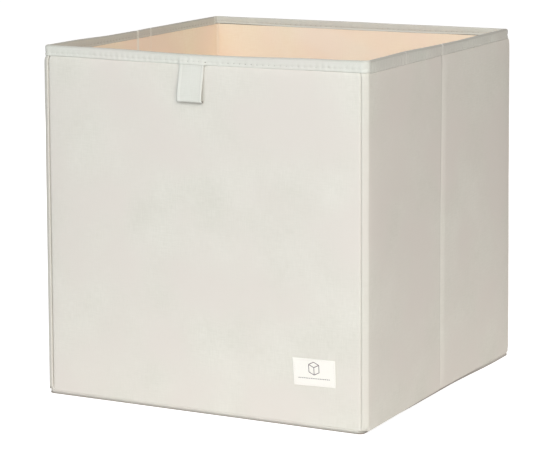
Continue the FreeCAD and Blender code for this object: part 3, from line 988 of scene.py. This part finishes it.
# Each side rim's tape is painted darker as painted shade, and darker still along its top, except at
# its pale marks.
for wall, (side, seed, depth, pucker, steady, lift, marks, pale, tone) in side_rims.items():
    painted_light_and_marks = sum(share * bell(rim_along - at, width) for at, width, share in pale)[:, None]
    painted_light_and_marks = painted_light_and_marks + (tone + painted_shade_top) * (painted_light_and_marks < 0.1)
    points = side_wall_rim(side, rim_along, seed, depth, pucker, steady, lift, marks)
    rim = surface(f"{wall}_rim_tape", points, painted_light_and_marks=painted_light_and_marks)
    dress(rim, binding_cloth, "rim_binding_tape", thickness=BINDING,
          stands_for=[f"{wall}_front_rim_binding", f"{wall}_rear_rim_binding"],
          bends=across_crease(wall, CREASE_EDGE))

# %% [markdown]
# ## Stitches
# A lockstitch shows as a short length of thread that dives into the cloth at both ends. There
# are hundreds, so each has few faces: five rings of six points, arched along its length. All
# stitches of a seam are worked out together, as one table of places and directions. The outer
# row is the top thread, made dark grey as painted shade for its sunk stitches and their holes,
# and the inner row the paler bobbin thread. Both are drawn about twice as thick as life, so
# that they show.

# %% A row of stitches
STITCH_LONG, STITCH_THICK = 3.0, 0.85
SUNK_SHARE, MOST_SUNK, RAISED_SHARE, BOBBIN_DEEPER = 0.42, 0.45, 0.7, 0.12
ring_share = np.linspace(-1, 1, 5)
ring_radius = STITCH_THICK / 2 * np.array([0.45, 0.9, 1.0, 0.9, 0.45])
ring_angle = np.linspace(0, math.tau, 6, endpoint=False)


def stitch_row(name, centres, along, outward, long=STITCH_LONG, thick=1.0):
    """Stitches at the centres, lying along one direction and arched towards the other.

    A point of a stitch is its centre, plus its share of the length along, plus its radius
    times the cosine out and the sine sideways, less an arch of one third of a millimetre."""
    sideways = np.cross(along, outward)
    share, turn = np.meshgrid(ring_share, ring_angle, indexing="ij")
    radius = np.broadcast_to(ring_radius[:, None], share.shape) * thick
    go_along = (share * long / 2).ravel()
    go_out = (radius * np.cos(turn) - 0.30 * share ** 2).ravel()
    go_side = (radius * np.sin(turn)).ravel()
    points = (centres[:, None] + go_along[:, None] * along[:, None]
              + go_out[:, None] * outward[:, None] + go_side[:, None] * sideways[:, None])
    numbers = np.arange(share.size).reshape(share.shape)
    numbers = np.concatenate([numbers, numbers[:, :1]], axis=1)
    faces = quads(numbers)
    ends = np.array([[0, 1, 2, 3], [0, 3, 4, 5], [24, 27, 26, 25], [24, 29, 28, 27]])
    faces = np.concatenate([faces, ends])
    uv_grid = np.stack([share.ravel() * long / 2, turn.ravel() * STITCH_THICK / 2], axis=1)
    uvs = np.tile(uv_grid[faces], (len(centres), 1, 1))
    first = np.arange(len(centres))[:, None, None] * share.size
    obj = new_mesh(name, points.reshape(-1, 3), (faces + first).reshape(-1, 4), uvs)
    close_up(obj)
    return obj


def rim_stitch_places(reach):
    """Distances of the stitches along a rim, one at each beat of the puckers."""
    count = int(reach // STITCH_PITCH)
    return np.arange(-count, count + 1) * STITCH_PITCH


def sunk_by(depth, pucker):
    """How deep a rim's stitches lie in its tape: a share of the pull, and never in the board."""
    return min(SUNK_SHARE * (depth + pucker), MOST_SUNK)


def rim_stitches(wall, x, y, out_x, out_y, sunk, raised, pushed=0.0, **dressing):
    """The two rows of one rim's stitches: outside, and inside where the bobbin thread shows."""
    for name, side, edge_up, finish, deeper in (
        ("rim_stitches", 1, RIM_EDGE, thread, 0.0),
        ("inner_rim_stitches", -1, INNER_RIM_EDGE, bobbin_thread, BOBBIN_DEEPER),
    ):
        off = side * (RIM_HALF - sunk - deeper) + (side > 0) * pushed
        height = edge_up + RIM_STITCH_UP + RAISED_SHARE * raised
        centres = np.stack([x + off * out_x, y + off * out_y, height + 0 * x], axis=1)
        outward = side * np.stack([out_x, out_y, 0 * x], axis=1)
        along = np.cross(outward, np.broadcast_to([0.0, 0.0, 1.0], outward.shape))
        seam = stitch_row(f"{wall}_{name}", centres, along, outward)
        dress(seam, finish, "rim_binding_tape", **dressing)


# %% Rim stitches
places = rim_stitch_places(rim_reach - 2)
for wall, (side, seed, depth, pucker, *others) in end_rims.items():
    x, y, out_x, out_y = turned_wall(places, WALL_MIDDLE, RIM_CORNER)
    pushed = over_tab(side, places) * (1 - smooth(RIM_STITCH_UP / BULGE_UP))
    rim_stitches(wall, x, side * y, out_x, side * out_y, sunk_by(depth, pucker),
                 end_edge_lift(places), pushed, body=wall)
places = rim_stitch_places(HINGE_Y - 2)
for wall, (side, seed, depth, pucker, *others) in side_rims.items():
    ones = np.ones_like(places)
    rim_stitches(wall, side * WALL_MIDDLE * ones, places, side * ones, 0 * ones,
                 sunk_by(depth, pucker), SIDE_EDGE_LIFT, bends=across_crease(wall, CREASE_EDGE))

# %% [markdown]
# ## Foot of the bin
# Under the walls the cloths of all four walls and of the base are sewn together and turned in,
# which leaves a thin rolled edge all round the foot. It is a closed ring: one quarter of a
# rounded square, turned four times, carries a flattened round section. Along the right wall
# the foot is drawn a little under the bin, because the base is sewn tighter there. Its lower
# half is painted darker, as painted shade on its underside. As the bin folds flat the real edge
# crumples towards the back wall; these two pieces move with the back wall, each with its own mesh.

# %% The rolled edge
WELT_HALF, WELT_UP = 2.3, 1.45
WELT_CORNER, WELT_PAINTED_SHADE = 5.5, -0.55
BASE_THICK, FOOT_DRAWN = 0.7, 4.5
welt_middle = HALF + FLARE_FOOT - 0.3 - WELT_HALF


def foot_line(x, y):
    """Move a line round the foot: out with the shell's flare towards the back, and in along the
    right wall, most towards the front."""
    wider = 1 + FLARE_REAR * smooth(0.5 + y / (2 * HALF)) / HALF
    drawn = FOOT_DRAWN * (1 - smooth((y - 20) / 120)) + 1.2 * bell(y + 115, 35)
    drawn = np.where(x < 0, 0, drawn * smooth((x - 148) / 12))
    return x * wider - np.sign(x) * drawn, y * wider


def rounded_square(half, radius, step):
    """Places and outward directions round a square with rounded corners, one quarter x 4."""
    straight = np.linspace(-(half - radius), half - radius, round(2 * half / step))
    angle = np.linspace(0, math.pi / 2, 9)[1:-1]
    side = np.stack([np.full_like(straight, half), straight], axis=1)
    turn = np.stack([np.cos(angle), np.sin(angle)], axis=1)
    place = np.concatenate([side, half - radius + radius * turn])
    outward = np.concatenate([np.broadcast_to([1.0, 0.0], side.shape), turn])
    turns = [np.linalg.matrix_power(np.array([[0, 1], [-1, 0]]), quarter) for quarter in range(4)]
    return np.concatenate([place @ t for t in turns]), np.concatenate([outward @ t for t in turns])


place, outward = rounded_square(welt_middle, WELT_CORNER, step=4.0)
angle = np.linspace(0, math.tau, 20, endpoint=False)
welt_out, welt_up = superellipse(angle, WELT_HALF, WELT_UP, 2.5)
around = lengths(place)
swell = 1 + 0.06 * hills(around, 0 * around, 17, 1, 161)[:, None]
x, y = foot_line(place[:, :1] + welt_out * swell * outward[:, :1],
                 place[:, 1:] + welt_out * swell * outward[:, 1:])
points = np.stack([x, y, np.broadcast_to(BASE_THICK + WELT_UP + welt_up, x.shape)], axis=2)
points = np.concatenate([points, points[:1]])
# The lower half of the roll is painted darker, as painted shade on its underside.
welt = surface("base_edge_roll", points, round_columns=True, ends=join_ends,
               painted_light_and_marks=WELT_PAINTED_SHADE * smooth((0.7 - welt_up) / 0.8))
dress(welt, cover_cloth, "base_welt_cloth", "back", ["base_welt"])

# %% The cloth under the bin
base_half = welt_middle + WELT_HALF - 0.5
base_lines = lines(-base_half, base_half, step=8.0)
across, deep = np.meshgrid(base_lines, base_lines)
far_out = np.clip(np.abs(deep) - base_half + WELT_CORNER, 0, WELT_CORNER) / WELT_CORNER
across = across * (1 - (1 - np.sqrt(1 - far_out ** 2)) * WELT_CORNER / base_half)
across, deep = foot_line(across, deep)
points = np.stack([across, deep, BASE_THICK + 0.03 * hills(across, deep, 40, 40, 171)], axis=2)
base = surface("base_outer_cloth", points, facing=(0, 0, 1))
dress(base, base_cloth_finish, "base_cloth", "back", ["base_cloth"], thickness=BASE_THICK - 0.1)
for foot_piece in (welt, base):
    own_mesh(foot_piece)

# %% [markdown]
# ## Base insert
# A loose-looking board in the bottom keeps the bin square. It is a board between two cloths,
# sewn together past the board's edge, and hinged by cloth along the foot of the back wall.
# Each cloth is a flat sheet whose height falls to the hem in an S-shaped ramp.

# %% Base insert
insert_x = span("insert_top_cloth", "x")[1]
insert_y = span("insert_top_cloth", "y")
insert_z = span("insert_under_cloth", "z")[0], span("insert_top_cloth", "z")[1]
CORNER_CUT, HEM_UP = 5.0, 0.5
hem_line = sum(insert_z) / 2


def insert_cloth(face_up, hem_up):
    """One cloth of the insert: flat at face_up, and ramped to hem_up round its sewn edge."""
    share, deep = np.meshgrid(lines(-insert_x, insert_x, step=8.0) / insert_x,
                              lines(*insert_y, creases=(insert_y[0] + CORNER_CUT,), step=8.0))
    half = insert_x - np.clip(insert_y[0] + CORNER_CUT - deep, 0, None)
    across = share * half
    from_ends = np.minimum(deep - insert_y[0], insert_y[1] - deep)
    from_edge = np.minimum(half - np.abs(across), from_ends)
    height = hem_up + (face_up - hem_up) * smooth((from_edge - 1.8) / 1.4)
    return np.stack([across, deep, height + 0 * share], axis=2)


for name, face_up, hem_up, way, finish, slot, node in (
    ("insert_top_lining", insert_z[1] - 0.05, hem_line + HEM_UP, 1,
     lining_cloth, "lining_cloth", "insert_top_cloth"),
    ("insert_under_lining", insert_z[0], hem_line - HEM_UP + 0.2, -1,
     base_cloth_finish, "base_cloth", "insert_under_cloth"),
):
    cloth = surface(name, insert_cloth(face_up, hem_up), facing=(0, 0, way))
    dress(cloth, finish, slot, "base_insert", [node], thickness=0.35)

# %% Hem stitches of the insert
HEM_STITCH_IN, HEM_PITCH = 1.1, 4.2
hem_half = insert_x - HEM_STITCH_IN
run = np.arange(-(insert_x - 9), insert_x - 9, HEM_PITCH)
rows = []
for side in (-1, 1):
    rows.append((np.stack([side * hem_half + 0 * run, run, 0 * run], axis=1), (0.0, 1.0, 0.0)))
    hem_y = insert_y[(side + 1) // 2] - side * HEM_STITCH_IN
    rows.append((np.stack([run, hem_y + 0 * run, 0 * run], axis=1), (1.0, 0.0, 0.0)))
centres = np.concatenate([row[0] for row in rows]) + np.array([0, 0, hem_line + HEM_UP])
along = np.concatenate([np.broadcast_to(row[1], row[0].shape) for row in rows])
hem = stitch_row("insert_hem_stitches", centres, along,
                 np.broadcast_to([0.0, 0.0, 1.0], along.shape), long=2.6, thick=0.8)
# These stitches take the same dark top thread, whose grey is painted shade.
dress(hem, thread, "lining_cloth", "base_insert")

# %% [markdown]
# ## Pull tab
# A tape is folded into a loop and both ends are caught under the front rim. Seen from the side
# the loop is a drop: its back lies against the wall, its front stands away, and they meet in
# a round fold at the bottom. The line is one function of the share of the way round, and the
# tape is that line carried across its width, with a sewn hem along both edges.

# %% Pull tab
tab_x = span("pull_tab", "x")
tab_y = span("pull_tab", "y")
tab_foot = span("pull_tab", "z")[0]
TAPE, TAB_DRIFT = 0.7, 0.8
LOOP, LEAN = 1.4, 2.2
tab_back = tab_y[1] - TAPE / 2 + 0.25
loop_middle = np.array([tab_back - LEAN - LOOP, tab_foot + LOOP + TAPE])


def tab_line(count):
    """Points (y, z) of the folded tape: down the front, round the fold, and up the back. The
    back leans out by an S-shaped ramp, and the front stands off it by the fold's width."""
    drop = np.linspace(0, 1, count)
    back_y = tab_back - LEAN * smooth(drop ** 0.8)
    front_y = back_y - TAPE - (2 * LOOP - TAPE) * smooth((drop * 1.1) ** 1.1)
    z = RIM_EDGE + 1.6 + (loop_middle[1] - RIM_EDGE - 1.6) * drop
    turn = np.linspace(0, math.pi, 15)[1:-1]
    fold_y = loop_middle[0] - LOOP * np.cos(turn)
    fold_z = loop_middle[1] - LOOP * np.sin(turn)
    return np.concatenate([front_y, fold_y, back_y[::-1]]), np.concatenate([z, fold_z, z[::-1]])


TAB_STEPS = 26
line_y, line_z = tab_line(TAB_STEPS)
width = (tab_x[1] - tab_x[0]) / 2
edge_share = np.linspace(-1, 1, 53)
drift = -TAB_DRIFT * (RIM_EDGE - line_z) / (RIM_EDGE - tab_foot)
across = (tab_x[0] + tab_x[1]) / 2 + drift[:, None] + (width - 0.15) * edge_share
from_hem = (1 - np.abs(edge_share)) * width
hem_wide = np.where(edge_share < 0, 3.0, 1.4)
puff = 0.16 * (1 - smooth((from_hem - hem_wide) / 0.9)) * smooth(from_hem / 0.4)
tangent = np.gradient(np.stack([line_y, line_z], axis=1), axis=0)
tangent /= np.linalg.norm(tangent, axis=1)[:, None]
normal = np.stack([tangent[:, 1], -tangent[:, 0]], axis=1)
half_tape = np.stack([TAPE / 2 + puff] * len(line_y))
points = np.stack([across, line_y[:, None] + normal[:, :1] * half_tape,
                   line_z[:, None] + normal[:, 1:] * half_tape], axis=2)
# Painted highlight along each hem with a line of painted shade inside it, and at the fold a painted
# highlight along its lowest front edge and painted shade on its underside.
hem_painted_light = (0.12 * (1 - smooth((from_hem - hem_wide) / 0.8))
              - 0.12 * bell(from_hem - hem_wide - 0.5, 0.5))
order = np.arange(len(line_y))[:, None] - TAB_STEPS
fold_painted_light = 0.30 * bell(order - 1, 2.0) - smooth((order - 3.5) / 2) * smooth((15 - order) / 3)
tab = surface("pull_tab_tape", points, facing=None, painted_light_and_marks=hem_painted_light * (order < 3) + fold_painted_light)
dress(tab, tab_cloth, "tab_tape", "pull_tab", ["pull_tab"], thickness=TAPE)

# %% [markdown]
# ## Patch
# A small satin patch is sewn flat to the lower right of the front. It was put on by hand, so
# it is a little askew: its four corners are given, and every point between them is their
# weighted mean. Its edges turn down to the cloth. The maker's mark is left out; a plain
# outline of an open box over a dashed rule stands in its place.

# %% Patch
PATCH_THICK, PATCH_FRAME = 0.5, 1.5
patch_x, patch_z = span("label_patch", "x"), span("label_patch", "z")
lean = {"low left": (3.1, 1.1), "low right": (2.6, 2.5),
        "high left": (1.2, 0.4), "high right": (1.6, 1.3)}


def patch_place(share_x, share_z):
    """Place (x, z) on the patch: the mean of its four corners, weighted by the two shares."""
    x, z = 0.0, 0.0
    for name, (shift_x, shift_z) in lean.items():
        at_x, at_z = "right" in name, "high" in name
        weight = (share_x if at_x else 1 - share_x) * (share_z if at_z else 1 - share_z)
        x = x + weight * (patch_x[at_x] + shift_x)
        z = z + weight * (patch_z[at_z] + shift_z)
    return x, z


def on_patch(share_x, share_z, proud):
    """Points on the patch, at a height in millimetres above the front cloth."""
    x, z = patch_place(share_x, share_z)
    return np.stack([x, -(front_cloth(-x, z) + proud), z + 0 * x], axis=-1)


size_x, size_z = patch_x[1] - patch_x[0], patch_z[1] - patch_z[0]
share_x, share_z = np.meshgrid(lines(0, size_x, step=1.2) / size_x,
                               lines(0, size_z, step=1.2) / size_z)
from_edge = np.minimum(np.minimum(share_x, 1 - share_x) * size_x,
                       np.minimum(share_z, 1 - share_z) * size_z)
proud = (PATCH_THICK * (0.35 + 0.65 * smooth(from_edge / 0.5))
         - 0.12 * bell(from_edge - PATCH_FRAME, 0.4))
patch = surface("label_patch_cloth", on_patch(share_x, share_z, proud), facing=(0, -1, 0))
dress(patch, patch_cloth, "patch_tape", "front", ["label_patch"], thickness=0.3)

# %% Stitches and mark of the patch


def patch_dashes(starts, ends, pitch):
    """Places and directions of dashes on the patch, from lists of start and end shares."""
    centres, along = [], []
    for start, end in zip(np.array(starts), np.array(ends)):
        first, last = on_patch(*np.array([start, end]).T, 0)
        long = np.linalg.norm(last - first)
        count = max(1, int(long // pitch))
        share = (np.arange(count)[:, None] + 0.5) / count
        points = on_patch(*(start + (end - start) * share).T, PATCH_THICK - 0.1)
        centres.append(points)
        along.append(np.broadcast_to((last - first) / long, points.shape))
    return np.concatenate(centres), np.concatenate(along)


in_x, in_z = PATCH_FRAME / size_x, PATCH_FRAME / size_z
ring = [(in_x, in_z), (1 - in_x, in_z), (1 - in_x, 1 - in_z), (in_x, 1 - in_z), (in_x, in_z)]
centres, along = patch_dashes(ring[:-1], ring[1:], 2.0)
sewn = stitch_row("label_patch_stitches", centres, along,
                  np.broadcast_to([0.0, -1.0, 0.0], along.shape), long=1.3, thick=0.5)
dress(sewn, patch_thread, "patch_tape", "front")


def flat_lines(name, starts, ends, wide):
    """Flat woven lines on the patch: one thin quad strip from each start to each end."""
    a = on_patch(*np.array(starts).T, PATCH_THICK + 0.03)
    b = on_patch(*np.array(ends).T, PATCH_THICK + 0.03)
    run = (b - a) / np.linalg.norm(b - a, axis=1)[:, None]
    side = np.cross(run, [0.0, -1.0, 0.0]) * wide / 2
    points = np.stack([a - side, b - side, b + side, a + side], axis=1).reshape(-1, 3)
    faces = np.arange(len(points)).reshape(-1, 4)
    return new_mesh(name, points, faces, points[faces][:, :, [0, 2]])


# %% The open box and the rule
middle, mark_wide, low, high, rise = 0.50, 0.12, 0.42, 0.69, 0.10
RULE_AT, DASH, MARK_LINE = 0.29, 0.027, 0.6
box_corners = {
    "front low": (middle, low), "front high": (middle, high),
    "back high": (middle, high + 2 * rise),
    "left low": (middle - mark_wide, low + rise), "left high": (middle - mark_wide, high + rise),
    "right low": (middle + mark_wide, low + rise), "right high": (middle + mark_wide, high + rise),
}
box_edges = (("front low", "front high"), ("left low", "left high"), ("right low", "right high"),
             ("front low", "left low"), ("front low", "right low"), ("front high", "left high"),
             ("front high", "right high"), ("left high", "back high"), ("right high", "back high"))
starts = [box_corners[a] for a, b in box_edges]
ends = [box_corners[b] for a, b in box_edges]
rule = np.linspace(0.12, 0.88, 19)[:-1]
starts += [(x, RULE_AT) for x in rule]
ends += [(x + DASH, RULE_AT) for x in rule]
mark = flat_lines("label_patch_mark", starts, ends, MARK_LINE)
dress(mark, mark_cloth, "patch_tape", "front")
